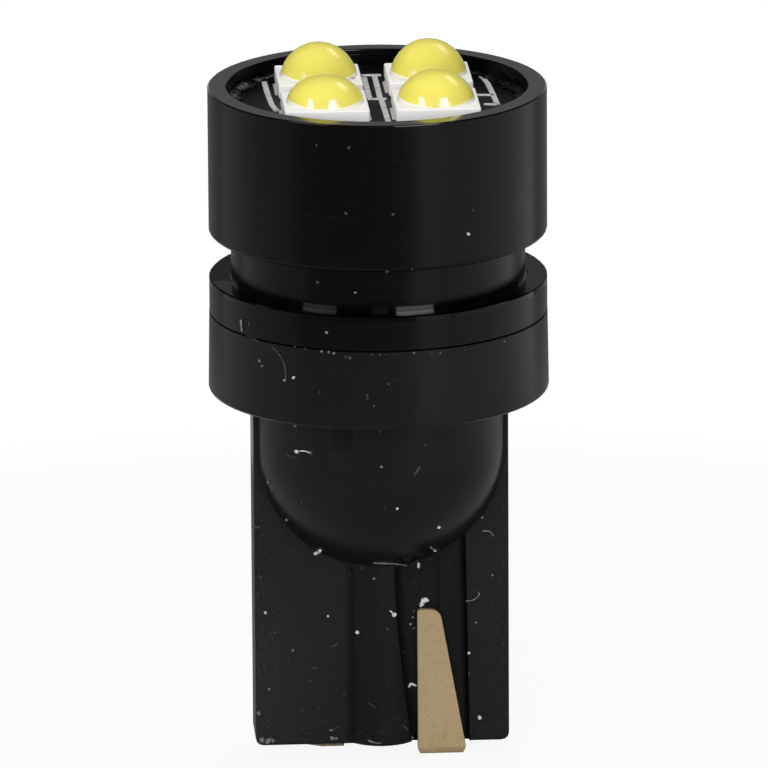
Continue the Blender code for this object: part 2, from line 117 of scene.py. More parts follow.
def stretched(at, factors):
    return at.node("ShaderNodeMapping", None, {"Vector": at, "Scale": factors})


def cloudy(at, scale, detail=2.0, rough=0.5):
    sockets = {"Vector": at, "Scale": scale, "Detail": detail, "Roughness": rough}
    return at.node("ShaderNodeTexNoise", None, sockets)


def specks(at, perMm, share, size):
    # small round dots in a random share of the cells of a grid
    cells = at.node("ShaderNodeTexVoronoi", None, {"Vector": at, "Scale": perMm})
    chance = axes(Signal(at.tree, cells.socket.node.outputs["Color"]))[0]
    return (1 - rising(cells, size * 0.5, size)) * (chance < share)


def blended(share, first, second):
    return share.node("ShaderNodeMix", {"data_type": "RGBA"}, {0: share, 6: first, 7: second}, 2)


def raised(height, distance, strength):
    # a bump whose distance is in mm
    sockets = {"Height": height, "Distance": distance * mm, "Strength": strength}
    return height.node("ShaderNodeBump", None, sockets)


def newMaterial(name, constants, paint):
    # constants go on the shader's own sockets; paint gets the place on the piece in mm
    mat = bpy.data.materials.new(name)
    mat.use_nodes = True
    tree = mat.node_tree
    shader = tree.nodes["Principled BSDF"]
    for socket, value in constants.items():
        shader.inputs[socket].default_value = value
    spot = Signal(tree, tree.nodes.new("ShaderNodeTexCoord").outputs["Object"])
    at = spot.node("ShaderNodeVectorMath", {"operation": "SCALE"}, {0: spot, "Scale": 1 / mm})
    for socket, signal in paint(at).items():
        tree.links.new(signal.socket, shader.inputs[socket])
    return mat


def dress(name, mat):
    mesh = solids[name].data
    mesh.materials.clear()
    mesh.materials.append(mat)


def place(name, mesh, node=None):
    piece = bpy.data.objects.new(name, mesh)
    bpy.context.collection.objects.link(piece)
    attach(piece, "root")
    if node:
        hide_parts(node)
    return piece


def keep(name, bm, mat, smooth=False):
    # bmesh in mm to a finished piece that rides on the bulb
    bmesh.ops.scale(bm, vec=(mm, mm, mm), verts=bm.verts)
    bmesh.ops.recalc_face_normals(bm, faces=bm.faces)
    mesh = bpy.data.meshes.new(name)
    bm.to_mesh(mesh)
    bm.free()
    if smooth:
        mesh.shade_smooth()
    mesh.materials.append(mat)
    return place(name, mesh)


def settled(carrier):
    # the plain mesh that an object's modifiers make
    bpy.context.view_layer.update()
    mesh = bpy.data.meshes.new_from_object(carrier.evaluated_get(bpy.context.evaluated_depsgraph_get()))
    bpy.data.objects.remove(carrier)
    return mesh


# how the skins over the solids are made, in mm and degrees
skinning = {
    "mergeWithin": 0.001,
    "flatWithin": 0.4,
    "crease": 46.0,
    "edgeSegments": 2,
}


def skin(node, mat, crease=skinning["crease"], edgeWidth=0.0, reshape=None):
    # a copy of a solid with its triangles merged, so that the round walls shade smooth
    bm = bmesh.new()
    bm.from_mesh(solids[node].data)
    bmesh.ops.remove_doubles(bm, verts=bm.verts, dist=skinning["mergeWithin"] * mm)
    flat = math.radians(skinning["flatWithin"])
    bmesh.ops.dissolve_limit(bm, angle_limit=flat, verts=bm.verts, edges=bm.edges)
    if reshape:
        reshape(bm)
    mesh = bpy.data.meshes.new(node)
    bm.to_mesh(mesh)
    bm.free()
    mesh.shade_smooth()
    mesh.set_sharp_from_angle(angle=math.radians(crease))
    mesh.materials.append(mat)
    carrier = bpy.data.objects.new(node, mesh)
    bpy.context.collection.objects.link(carrier)
    if edgeWidth:
        soft = carrier.modifiers.new("softEdge", "BEVEL")
        soft.width = edgeWidth * mm
        soft.segments = skinning["edgeSegments"]
        soft.limit_method = "ANGLE"
        soft.angle_limit = math.radians(crease)
        soft.harden_normals = True
    else:
        even = carrier.modifiers.new("evenNormals", "WEIGHTED_NORMAL")
        even.keep_sharp = True
    return place(node + "Skin", settled(carrier), node)


# the photograph's camera, in degrees and mm, apart from its clip in metres
view = {
    "aimHeight": 14.1,
    "azimuth": -3.6,
    "elevation": 15.55,
    "roll": -0.34,
    "distance": 400.0,
    "lens": 506.96,
    "sideways": 0.193,
    "sensor": 36.0,
    "clip": (0.01, 10.0),
    "pixels": 768,
}


def direction(azimuth, elevation):
    a = math.radians(azimuth)
    e = math.radians(elevation)
    return Vector((math.sin(a) * math.cos(e), -math.cos(a) * math.cos(e), math.sin(e)))


def makeCamera():
    back = direction(view["azimuth"], view["elevation"])
    level = Vector((0, 0, 1)).cross(back).normalized()
    upright = back.cross(level)
    turn = math.radians(view["roll"])
    right = level * math.cos(turn) + upright * math.sin(turn)
    up = upright * math.cos(turn) - level * math.sin(turn)
    eye = Vector((0, 0, view["aimHeight"])) + back * view["distance"] + right * view["sideways"]
    data = bpy.data.cameras.new("photoCamera")
    data.lens = view["lens"]
    data.sensor_width = view["sensor"]
    data.clip_start, data.clip_end = view["clip"]
    camera = bpy.data.objects.new("photoCamera", data)
    camera.matrix_world = Matrix.Translation(eye * mm) @ Matrix((right, up, back)).transposed().to_4x4()
    bpy.context.collection.objects.link(camera)
    bpy.context.scene.camera = camera
    return eye, right, up, back


eye, right, up, back = makeCamera()
print("camera set")


# lamps, world and floor; a lamp either lights matt surfaces or shows in glossy ones
studio = {
    "lamps": (
        # name, azimuth, elevation, width, height, brightness, shows
        ("keyBox", -15, 14, 240, 240, 5.6, "matt"),
        ("rearBox", 165, 66, 260, 260, 1.7, "matt"),
        ("rightPanel", 88, -24, 470, 260, 1.25, "glossy"),
        ("rightStrip", 34, -22, 125, 260, 1.5, "glossy"),
        ("leftPanel", -97, -24, 430, 260, 0.6, "glossy"),
        ("rightTall", 24.5, 17, 150, 130, 9.0, "glossy"),
        ("leftTall", -51.3, 17, 142, 130, 2.2, "glossy"),
        ("middleTall", -3, 20, 60, 60, 0.7, "glossy"),
        ("backWall", 176, 10, 420, 190, 0.14, "glossy"),
        ("backRight", 136, 49, 140, 70, 4.0, "glossy"),
        ("backLeft", -130, 49, 140, 70, 0.8, "glossy"),
    ),
    "lampDistance": 300.0,
    "ambient": 0.45,
    "horizon": 0.28,
    "ceiling": 0.04,
    "horizonBand": (-0.1, 0.12),
    "floorTone": 0.74,
    "floorRadius": 52.0,
    "floorSides": 96,
    "floorDrop": 0.02,
    "shadowReach": (14.0, 46.0),
    "shadowFade": 0.9,
}


def makeLamp(name, azimuth, elevation, width, height, brightness, shows):
    data = bpy.data.lights.new(name, "AREA")
    data.shape = "RECTANGLE"
    data.size = width * mm
    data.size_y = height * mm
    data.energy = brightness * math.pi * width * height * mm * mm
    lamp = bpy.data.objects.new(name, data)
    away = direction(azimuth, elevation)
    lamp.location = (Vector((0, 0, view["aimHeight"])) + away * studio["lampDistance"]) * mm
    lamp.rotation_mode = "QUATERNION"
    lamp.rotation_quaternion = away.to_track_quat("Z", "Y")
    lamp.visible_camera = False
    lamp.visible_glossy = shows == "glossy"
    lamp.visible_diffuse = shows == "matt"
    bpy.context.collection.objects.link(lamp)


def makeWorld():
    # white behind the object; glossy surfaces see it pale at the horizon and dim overhead
    world = bpy.data.worlds.new("studio")
    world.use_nodes = True
    bpy.context.scene.world = world
    tree = world.node_tree
    tree.nodes.clear()
    rays = tree.nodes.new("ShaderNodeLightPath")
    seen = Signal(tree, rays.outputs["Is Camera Ray"])
    glossy = Signal(tree, rays.outputs["Is Glossy Ray"])
    mirrored = larger(glossy, Signal(tree, rays.outputs["Is Transmission Ray"]))
    heading = Signal(tree, tree.nodes.new("ShaderNodeTexCoord").outputs["Generated"])
    overhead = rising(axes(heading)[2], *studio["horizonBand"])
    shown = studio["horizon"] + overhead * (studio["ceiling"] - studio["horizon"])
    unseen = studio["ambient"] + mirrored * (shown - studio["ambient"])
    strength = unseen + seen * (1 - unseen)
    white = seen.node("ShaderNodeBackground", None, {0: (1, 1, 1, 1), 1: strength})
    seen.node("ShaderNodeOutputWorld", None, {0: white})


def makeFloor():
    # pale and matt near the object, where its shadow falls, and white to the camera further out
    bm = bmesh.new()
    radius = studio["floorRadius"] * mm
    bmesh.ops.create_circle(bm, cap_ends=True, radius=radius, segments=studio["floorSides"])
    mesh = bpy.data.meshes.new("floor")
    bm.to_mesh(mesh)
    bm.free()
    mat = bpy.data.materials.new("paleFloor")
    mat.use_nodes = True
    tree = mat.node_tree
    tree.nodes.clear()
    rays = tree.nodes.new("ShaderNodeLightPath")
    seen = Signal(tree, rays.outputs["Is Camera Ray"])
    spot = Signal(tree, tree.nodes.new("ShaderNodeTexCoord").outputs["Object"])
    far = spot.node("ShaderNodeVectorMath", {"operation": "LENGTH"}, {0: spot}, "Value")
    near, wide = studio["shadowReach"]
    white = larger(rising(far, near * mm, wide * mm), seen * studio["shadowFade"]) * seen
    tone = studio["floorTone"]
    matt = seen.node("ShaderNodeBsdfDiffuse", None, {"Color": (tone, tone, tone, 1)})
    glow = seen.node("ShaderNodeEmission", None, {"Color": (1, 1, 1, 1), "Strength": 1.0})
    both = seen.node("ShaderNodeMixShader", None, {0: white, 1: matt, 2: glow})
    seen.node("ShaderNodeOutputMaterial", None, {0: both})
    mesh.materials.append(mat)
    floor = bpy.data.objects.new("floor", mesh)
    floor.location.z = -studio["floorDrop"] * mm
    bpy.context.collection.objects.link(floor)


for lamp in studio["lamps"]:
    makeLamp(*lamp)
makeWorld()
makeFloor()
bpy.context.scene.view_settings.view_transform = "Standard"
print("studio lit")


# head: black anodised turning
headLook = {
    "tone": (0.0012, 0.0011, 0.0014, 1),
    "scuffTone": (0.03, 0.029, 0.029, 1),
    "gloss": 0.1,
    "wallRoughness": 0.27,
    "rimRoughness": 0.2,
    "rimHeight": 25.47,
    "crease": 40.0,
    "coatRoughness": 0.06,
    "unevenness": 0.08,
    "linesPerMm": 9.0,
    "lineDepth": 0.0012,
    "scuffShare": 0.07,
    "dustShare": 0.15,
    # the solid's rings at the neck's foot, as radius and height, and how near a point of them lies
    "cone": ((5.43, 18.78), (5.85, 18.36)),
    "flangeEdge": (6.24, 18.36),
    "ringReach": 0.02,
    # the bright-cut corner that stands there in the skin
    "neckRadius": 5.43,
    "cornerHeight": 18.29,
    "edgeRound": 0.22,
    "edgeSegments": 4,
    "cutHeights": (18.13, 18.53),
    "cutRoughness": 0.1,
}


def plainCorner(bm):
    # the neck runs straight down to a flat flange with a rounded edge
    near = headLook["ringReach"]
    corner = headLook["cornerHeight"]
    edgeRadius = headLook["flangeEdge"][0]
    for vert in bm.verts:
        radius = math.hypot(vert.co.x, vert.co.y)
        for wide, high in (*headLook["cone"], headLook["flangeEdge"]):
            if abs(radius / mm - wide) < near and abs(vert.co.z / mm - high) < near:
                inward = headLook["neckRadius"] * mm / radius if wide < edgeRadius else 1
                vert.co = (vert.co.x * inward, vert.co.y * inward, corner * mm)
                break
    bmesh.ops.remove_doubles(bm, verts=bm.verts, dist=near * mm)

    def onEdge(vert):
        radius = math.hypot(vert.co.x, vert.co.y) / mm
        return abs(vert.co.z / mm - corner) < near / 2 and abs(radius - edgeRadius) < near

    rim = [edge for edge in bm.edges if all(onEdge(vert) for vert in edge.verts)]
    bmesh.ops.bevel(bm, geom=rim, offset=headLook["edgeRound"] * mm, segments=headLook["edgeSegments"],
                    affect="EDGES", profile=0.5)


def paintHead(at):
    x, y, z = axes(at)
    square = x * x + y * y
    radius = square.maths("SQRT", square)
    ring = at.node("ShaderNodeCombineXYZ", None, {0: x * 0.02, 1: y * 0.02, 2: z + radius})
    lines = cloudy(ring, headLook["linesPerMm"], 3.0, 0.6)
    wear = cloudy(at, 0.9, 3.0)
    dust = specks(at, 3.0, 0.05, 0.1)
    low, high = headLook["cutHeights"]
    cut = rising(z, low, low + 0.03) * (1 - rising(z, high - 0.05, high))
    rim = z > headLook["rimHeight"]
    neck = (radius < headLook["neckRadius"] + 0.03) * (z > headLook["cornerHeight"])
    scuffed = rising(lines, 0.55, 0.8) * headLook["scuffShare"] + dust * headLook["dustShare"]
    wall = headLook["wallRoughness"]
    rough = wall + rim * (headLook["rimRoughness"] - wall)
    rough = rough + cut * (headLook["cutRoughness"] - wall)
    uneven = headLook["unevenness"]
    return {
        "Base Color": blended(scuffed, headLook["tone"], headLook["scuffTone"]),
        "Roughness": rough + (wear - 0.5) * uneven + (lines - 0.5) * uneven,
        "Coat Weight": rim + neck * cut,
        "Normal": raised(lines, headLook["lineDepth"], 0.6),
    }


headMat = newMaterial("blackAnodised", {
    "Specular IOR Level": headLook["gloss"],
    "Coat Roughness": headLook["coatRoughness"],
}, paintHead)
skin("head_shell", headMat, crease=headLook["crease"], reshape=plainCorner)
print("head dressed")


# base: moulded black plastic, smooth dome and collar, spark-textured blade
baseLook = {
    "tone": (0.0044, 0.0042, 0.005, 1),
    "bladeTone": (0.0054, 0.0051, 0.006, 1),
    # the darkest tone is painted shade
    "paintedShadeTone": (0.0012, 0.0012, 0.0014, 1),
    "dustAndPaintedLightTone": (0.14, 0.135, 0.13, 1),
    "gloss": 0.11,
    "domeRoughness": 0.3,
    "bladeRoughness": 0.5,
    "unevenness": 0.1,
    "grainsPerMm": 12.0,
    "grainDepth": 0.004,
    "powderShare": 0.16,
    "dotShare": 0.28,
    # how much painted light pales the lower blade away from the contact
    "paintedLightShare": 0.03,
    # how dark the painted shade lies in each place, and how much sheen it takes
    "cornerShade": 0.85,
    "channelShade": 0.25,
    "creaseShade": 0.4,
    "ribShade": 0.16,
    "shadeDullsSheen": 0.9,
    # the dome's centre, and the squared distances from it between which the blade's finish sets in
    "domeCentre": 11.93,
    "domeReach": (21.9, 22.9),
    # where the contact's channel and the rib lie, from the axis
    "channelOuter": (3.23, 3.03),
    "channelInner": (0.45, 1.09),
    "channelHeights": (0.52, 7.25),
    "channelCurve": 1.6,
    "channelFloor": 0.8,
    "ribHalf": 1.16,
}


def paintBase(at):
    x, y, z = axes(at)
    up = z - baseLook["domeCentre"]
    reach = x * x + y * y + up * up
    blade = (1 - rising(up, -1.5, 0.0)) * rising(reach, *baseLook["domeReach"])
    grain = cloudy(at, baseLook["grainsPerMm"], 3.0, 0.7)
    broad = cloudy(at, 0.6, 3.0)
    side = x * (1 - 2 * (y > 0))  # towards the contact on either face
    foot, top = baseLook["channelHeights"]
    share = larger(top - z, 0.0) * (1 / (top - foot))
    inner, innerFoot = baseLook["channelInner"]
    inner = inner + share.maths("POWER", share, baseLook["channelCurve"]) * (innerFoot - inner)
    outer, outerTop = baseLook["channelOuter"]
    outer = outer + (z - foot) * ((outerTop - outer) / (baseLook["domeCentre"] - foot))
    channel = (absolute(y) < baseLook["channelFloor"] + 0.1) * (side > inner) * (side < outer)
    # painted shade: the contact's channel darker, deepest along its walls, and darker on the rib and along
    # the rib's crease on one face
    corner = larger(1 - rising(side - inner, 0.0, 0.6), 1 - rising(outer - side, 0.0, 0.35)) * channel
    corner = larger(corner, 1 - rising(absolute(side - outer), 0.0, 0.07))
    rib = 1 - rising(absolute(x), baseLook["ribHalf"], baseLook["ribHalf"] + 0.08)
    crease = 1 - rising(absolute(absolute(x) - baseLook["ribHalf"]), 0.02, 0.3)
    paintedShade = larger(corner * baseLook["cornerShade"], channel * baseLook["channelShade"])
    ridge = larger(rib * baseLook["ribShade"], crease * baseLook["creaseShade"] * (side < 0))
    paintedShade = larger(paintedShade, ridge)
    # painted light: the lower blade paler towards the side away from the contact, mixed in with the dust
    bright = rising(0 - side, 1.0, 4.6) * (1 - rising(z, 3.0, 8.0)) * baseLook["paintedLightShare"]
    margin = larger(rising(absolute(x), 3.4, 4.4), 1 - rising(z, 0.6, 2.4))
    powder = rising(cloudy(at, 9.0, 4.0, 0.75), 0.52, 0.75) * blade * (0.25 + margin * 0.75)
    dots = specks(at, 5.0, 0.1, 0.16) * blade + specks(at, 2.6, 0.04, 0.1) * (1 - blade) * 0.3
    tone = blended(blade, baseLook["tone"], baseLook["bladeTone"])
    tone = blended(paintedShade * blade, tone, baseLook["paintedShadeTone"])
    dustAndPaintedLight = powder * baseLook["powderShare"] + dots * baseLook["dotShare"]
    dustAndPaintedLight = dustAndPaintedLight + (rising(grain, 0.5, 0.75) * 0.03 + bright) * blade
    tone = blended(dustAndPaintedLight, tone, baseLook["dustAndPaintedLightTone"])
    rough = baseLook["domeRoughness"] + blade * (baseLook["bladeRoughness"] - baseLook["domeRoughness"])
    return {
        "Base Color": tone,
        "Roughness": rough + (broad - 0.5) * baseLook["unevenness"],
        # a near-black metal has no sheen, so the painted shade loses its sheen too
        "Metallic": paintedShade * blade * baseLook["shadeDullsSheen"],
        "Normal": raised(grain * blade, baseLook["grainDepth"], 0.8),
    }


baseMat = newMaterial("mouldedBlack", {"Specular IOR Level": baseLook["gloss"]}, paintBase)
skin("base_shell", baseMat)
print("base dressed")


# contacts: dull tinned strip
contactLook = {
    "tone": (0.31, 0.23, 0.12, 1),
    "stainTone": (0.21, 0.152, 0.078, 1),
    "brightTone": (0.37, 0.285, 0.162, 1),
    "metallic": 0.3,
    "roughness": 0.5,
    "drawDepth": 0.003,
    "crease": 50.0,
    "edgeWidth": 0.04,
    # the foot is rubbed bright, the upper end stays dull
    "dullHeights": (1.0, 5.6),
}


def paintContacts(at):
    drawn = cloudy(stretched(at, (6.0, 6.0, 0.35)), 2.0, 3.0, 0.6)
    stain = cloudy(at, 1.8, 4.0, 0.65)
    fine = cloudy(at, 14.0, 2.0)
    pits = specks(at, 2.2, 0.2, 0.16)
    dull = rising(axes(at)[2], *contactLook["dullHeights"])
    tone = blended(rising(stain, 0.45, 0.75) * 0.6, contactLook["tone"], contactLook["brightTone"])
    stained = rising(fine, 0.45, 0.75) * 0.5 + rising(drawn, 0.6, 0.8) * 0.2 + dull * 0.35 + pits
    tone = blended(stained, tone, contactLook["stainTone"])
    return {
        "Base Color": tone,
        "Roughness": contactLook["roughness"] + (stain - 0.5) * 0.25 + (fine - 0.5) * 0.1,
        "Normal": raised(drawn + fine * 0.5 - pits, contactLook["drawDepth"], 0.6),
    }


contactMat = newMaterial("tinnedStrip", {"Metallic": contactLook["metallic"]}, paintContacts)
for name in ("contact_front", "contact_back"):
    skin(name, contactMat, crease=contactLook["crease"], edgeWidth=contactLook["edgeWidth"])
print("contacts dressed")


# LED board: black mask, tinned tracks, and a bead of black sealant round its edge
boardLook = {
    "tone": (0.0022, 0.0022, 0.0027, 1),
    "weaveTone": (0.005, 0.005, 0.0056, 1),
    "gloss": 0.1,
    "roughness": 0.34,
    "weaveDepth": 0.004,
}


def paintBoard(at):
    weave = cloudy(stretched(at, (4.0, 4.0, 1.0)), 1.5, 3.0)
    fine = cloudy(at, 8.0, 2.0)
    return {
        "Base Color": blended(rising(weave, 0.45, 0.7), boardLook["tone"], boardLook["weaveTone"]),
        "Roughness": boardLook["roughness"] + (fine - 0.5) * 0.15,
        "Normal": raised(fine, boardLook["weaveDepth"], 0.5),
    }


boardMat = newMaterial("blackMask", {"Specular IOR Level": boardLook["gloss"]}, paintBoard)
skin("led_board", boardMat)

tinLook = {
    "tone": (0.8, 0.79, 0.77, 1),
    "dullTone": (0.55, 0.54, 0.52, 1),
    "metallic": 0.4,
    "roughness": 0.4,
}


def paintTin(at):
    flow = cloudy(at, 3.0, 3.0)
    return {
        "Base Color": blended(rising(flow, 0.45, 0.75), tinLook["tone"], tinLook["dullTone"]),
        "Roughness": tinLook["roughness"] + (flow - 0.5) * 0.3,
        "Normal": raised(flow, 0.01, 0.5),
    }


tinMat = newMaterial("tinnedTrack", {"Metallic": tinLook["metallic"]}, paintTin)

tracks = {
    "width": 0.22,
    "thick": 0.035,
    "sunk": 0.005,
    # the points of each run, across and back from the axis
    "runs": (
        ((-0.33, 3.95), (0.4, 3.93)),
        ((-0.25, 3.6), (-0.25, 0.42)),
        ((0.15, 3.8), (0.14, 0.41)),
        ((-0.33, 0.31), (0.36, 0.28)),
        ((0.17, 0.2), (0.22, -3.6)),
        ((-3.98, 3.24), (-3.95, 1.5), (-3.88, -0.28), (-3.75, -1.2)),
        ((4.0, 3.75), (4.15, 3.1), (4.25, 2.2), (4.32, 0.6), (4.36, -0.95)),
        ((3.72, 0.6), (4.33, 0.52)),
        ((3.88, -0.82), (4.36, -0.96)),
        ((-3.6, -3.2), (-4.1, -2.2)),
    ),
}


def addRun(bm, points, width, low, thick):
    # a flat track of even width along its points
    path = [Vector((px, py, 0)) for px, py in points]
    rings = []
    for i, point in enumerate(path):
        before = path[max(0, i - 1)]
        after = path[min(len(path) - 1, i + 1)]
        forward = (after - before).normalized()
        side = Vector((-forward.y, forward.x, 0)) * (width / 2)
        rings.append([bm.verts.new(point + side * s + Vector((0, 0, low + h)))
                      for s, h in ((1, 0), (-1, 0), (-0.85, thick), (0.85, thick))])
    for ring, following in zip(rings, rings[1:]):
        for i in range(4):
            j = (i + 1) % 4
            bm.faces.new((ring[i], ring[j], following[j], following[i]))
    bm.faces.new(rings[0])
    bm.faces.new(rings[-1])


boardTop = boxInMm("led_board")[1].z
boardRadius = boxInMm("led_board")[1].x
bm = bmesh.new()
for points in tracks["runs"]:
    addRun(bm, points, tracks["width"], boardTop - tracks["sunk"], tracks["thick"])
keep("boardTracks", bm, tinMat)

sealant = {
    "tone": (0.0018, 0.0018, 0.0021, 1),
    "paleTone": (0.004, 0.004, 0.0044, 1),
    "gloss": 0.2,
    "roughness": 0.14,
    "wallGap": 0.09,
    "width": 0.34,
    "height": 0.16,
    "lumpHeight": 0.22,
    "rings": 360,
}


def paintSealant(at):
    lump = cloudy(at, 3.5, 3.0, 0.6)
    return {
        "Base Color": blended(rising(lump, 0.5, 0.8), sealant["tone"], sealant["paleTone"]),
        "Roughness": sealant["roughness"] + (lump - 0.5) * 0.3,
        "Normal": raised(lump, 0.08, 0.7),
    }


def addSealant(bm):
    # a lumpy bead in the corner between the board and the cup's wall, thickest left and right
    count = sealant["rings"]
    wall = boardRadius + sealant["wallGap"]
    foot = boardTop - tracks["sunk"]
    rings = []
    for i in range(count):
        a = 2 * math.pi * i / count
        lump = noise.noise(Vector((math.cos(a) * 7, math.sin(a) * 7, 0.3)))
        small = noise.noise(Vector((math.cos(a) * 16, math.sin(a) * 16, 4.7)))
        side = math.cos(a) ** 2
        swell = 1 + (lump * 0.7 + small * 0.3) * (0.35 + side)
        wide = sealant["width"] * max(0.35, swell) * (0.6 + 0.7 * side)
        lumpy = sealant["lumpHeight"] * side * max(0.0, lump + small * 0.6)
        tall = (sealant["height"] + lumpy) * (0.7 + 0.5 * side)
        rings.append([bm.verts.new((math.cos(a) * r, math.sin(a) * r, foot + h)) for r, h in (
            (wall, 0.0), (wall - wide, 0.0), (wall - wide * 0.85, tall * 0.45),
            (wall - wide * 0.5, tall * 0.85), (wall - wide * 0.2, tall), (wall, tall * 1.15))])
    for i, ring in enumerate(rings):
        following = rings[(i + 1) % count]
        for k in range(len(ring)):
            after = (k + 1) % len(ring)
            bm.faces.new((ring[k], ring[after], following[after], following[k]))


sealantMat = newMaterial("blackSealant", {"Specular IOR Level": sealant["gloss"]}, paintSealant)
bm = bmesh.new()
addSealant(bm)
keep("edgeSealant", bm, sealantMat, smooth=True)
print("board dressed")


# LEDs: white packages, terminals and lenses
packageLook = {
    "tone": (0.9, 0.89, 0.88, 1),
    "sideTone": (0.87, 0.87, 0.87, 1),
    "gloss": 0.2,
    "roughness": 0.5,
    "crease": 50.0,
}


def paintPackage(at):
    top = boxInMm("led_body_1")[1].z
    low = 1 - rising(axes(at)[2], top - 0.5, top - 0.12)
    mottle = cloudy(at, 2.5, 3.0)
    return {
        "Base Color": blended(low * 0.2 + rising(mottle, 0.5, 0.8) * 0.1, packageLook["tone"],
                              packageLook["sideTone"]),
        "Roughness": packageLook["roughness"] + (mottle - 0.5) * 0.15,
        "Normal": raised(mottle, 0.01, 0.3),
    }


packageMat = newMaterial("whitePackage", {"Specular IOR Level": packageLook["gloss"]}, paintPackage)

lensLook = {
    "tone": (0.76, 0.68, 0.115, 1),
    "deepTone": (0.74, 0.645, 0.098, 1),
    "footTone": (0.86, 0.83, 0.72, 1),
    "gloss": 0.45,
    "roughness": 0.24,
    "crease": 60.0,
    # where the yellow begins over the foot, and how fast that climbs away from the middle
    "yellowFrom": 0.05,
    "yellowLift": 0.07,
    # painted reflections of lamps: pale fingers up the front, as place and half width
    "glints": ((-0.6, 0.14), (0.2, 0.2)),
    "glintRise": 0.44,
    # for each lens, rear left, rear right, front left and front right: how clear its painted reflections are,
    # and how tall it stands beside the plain solid, over a foot that stays
    "glintShares": (0.25, 0.4, 0.85, 0.85),
    "heights": (1.0, 1.04, 0.79, 0.89),
    "footHeight": 0.1,
}


def squashed(footZ, factor):
    # scales what stands over a height
    def reshape(bm):
        for vert in bm.verts:
            if vert.co.z > footZ * mm:
                vert.co.z = (footZ + (vert.co.z / mm - footZ) * factor) * mm
    return reshape


def paintLens(centre, footZ, glintShare):
    def paint(at):
        x, y, z = axes(at)
        across = x - centre.x
        depth = y - centre.y
        up = z - footZ
        ripple = cloudy(at, 1.4, 2.0)
        edge = lensLook["yellowFrom"]
        level = up + (ripple - 0.5) * 0.08 - across * across * lensLook["yellowLift"]
        yellow = rising(level, edge - 0.03, edge + 0.03)
        low = 1 - rising(up, lensLook["glintRise"] * 0.75, lensLook["glintRise"])
        front = 1 - rising(depth, -0.9, -0.7)
        # painted reflections: pale fingers over the yellow, low on the front
        for middle, half in lensLook["glints"]:
            aside = absolute(across - middle) + up * 0.12
            glint = 1 - rising(aside, half * 0.6, half * 1.1)
            yellow = yellow * (1 - glint * low * front * glintShare)
        tone = blended(rising(ripple, 0.4, 0.7) * 0.5, lensLook["tone"], lensLook["deepTone"])
        return {
            "Base Color": blended(yellow, lensLook["footTone"], tone),
            "Roughness": lensLook["roughness"] + (ripple - 0.5) * 0.1,
            "Normal": raised(ripple, 0.02, 0.2),
        }
    return paint


terminals = {
    "length": 1.5,
    "reach": 0.05,
    "inside": 0.02,
    "heights": (0.01, 0.1),
    "edge": 0.03,
    # the soldered pad, which runs past both ends of the terminal
    "padReach": 0.1,
    "padBeyond": 0.08,
    "padHeights": (-0.005, 0.03),
    "padEdge": 0.01,
}


def newTree(name, inputs):
    # an empty Geometry Nodes group with named inputs
    tree = bpy.data.node_groups.new(name, "GeometryNodeTree")
    tree.interface.new_socket("Geometry", in_out="INPUT", socket_type="NodeSocketGeometry")
    made = {label: tree.interface.new_socket(label, in_out="INPUT", socket_type=kind).identifier
            for label, kind in inputs.items()}
    tree.interface.new_socket("Geometry", in_out="OUTPUT", socket_type="NodeSocketGeometry")
    entry = tree.nodes.new("NodeGroupInput")
    return tree, made, {socket.name: Signal(tree, socket) for socket in entry.outputs if socket.name}


def repeated(name, spots, model, mat, turn, seed):
    # sets a copy of a model on each (place, size, quarter turns) by Geometry Nodes
    mesh = bpy.data.meshes.new(name)
    mesh.from_pydata([spot * mm for spot, size, quarters in spots], [], [])
    sizes = mesh.attributes.new("size", "FLOAT", "POINT")
    angles = mesh.attributes.new("angle", "FLOAT", "POINT")
    for i, (spot, size, quarters) in enumerate(spots):
        sizes.data[i].value = size
        angles.data[i].value = quarters * math.pi / 2
    carrier = bpy.data.objects.new(name, mesh)
    bpy.context.collection.objects.link(carrier)

    tree, sockets, inputs = newTree(name + "Nodes", {
        "model": "NodeSocketObject", "turn": "NodeSocketFloat", "seed": "NodeSocketInt"})
    points = inputs["Geometry"]
    shape = points.node("GeometryNodeObjectInfo", None, {"Object": inputs["model"]}, "Geometry")
    size = points.node("GeometryNodeInputNamedAttribute", {"data_type": "FLOAT"}, {"Name": "size"})
    angle = points.node("GeometryNodeInputNamedAttribute", {"data_type": "FLOAT"}, {"Name": "angle"})
    tumble = points.node("FunctionNodeRandomValue", {"data_type": "FLOAT_VECTOR"},
                         {0: (0, 0, 0), 1: (6.28, 6.28, 6.28), "Seed": inputs["seed"]})
    tumble = points.node("ShaderNodeVectorMath", {"operation": "SCALE"}, {0: tumble, "Scale": inputs["turn"]})
    upright = points.node("ShaderNodeCombineXYZ", None, {2: angle})
    facing = points.node("ShaderNodeVectorMath", {"operation": "ADD"}, {0: tumble, 1: upright})
    placed = points.node("GeometryNodeInstanceOnPoints", None, {
        "Points": points, "Instance": shape, "Rotation": facing, "Scale": size})
    solid = placed.node("GeometryNodeRealizeInstances", None, {0: placed})
    coloured = solid.node("GeometryNodeSetMaterial", None, {"Geometry": solid, "Material": mat})
    leave = tree.nodes.new("NodeGroupOutput")
    tree.links.new(coloured.socket, leave.inputs[0])

    source = bpy.data.objects.new(name + "Model", model)
    bpy.context.collection.objects.link(source)
    grow = carrier.modifiers.new("copies", "NODES")
    grow.node_group = tree
    grow[sockets["model"]] = source
    grow[sockets["turn"]] = turn
    grow[sockets["seed"]] = seed
    made = settled(carrier)
    bpy.data.objects.remove(source)
    return place(name, made)


def addBlock(bm, low, high, bevelBy):
    centre = (Vector(low) + Vector(high)) / 2
    size = Vector(high) - Vector(low)
    made = bmesh.ops.create_cube(bm, size=1, matrix=Matrix.Translation(centre) @ Matrix.Diagonal((*size, 1)))
    edges = list({edge for vert in made["verts"] for edge in vert.link_edges})
    bmesh.ops.bevel(bm, geom=edges, offset=bevelBy, segments=2, affect="EDGES")


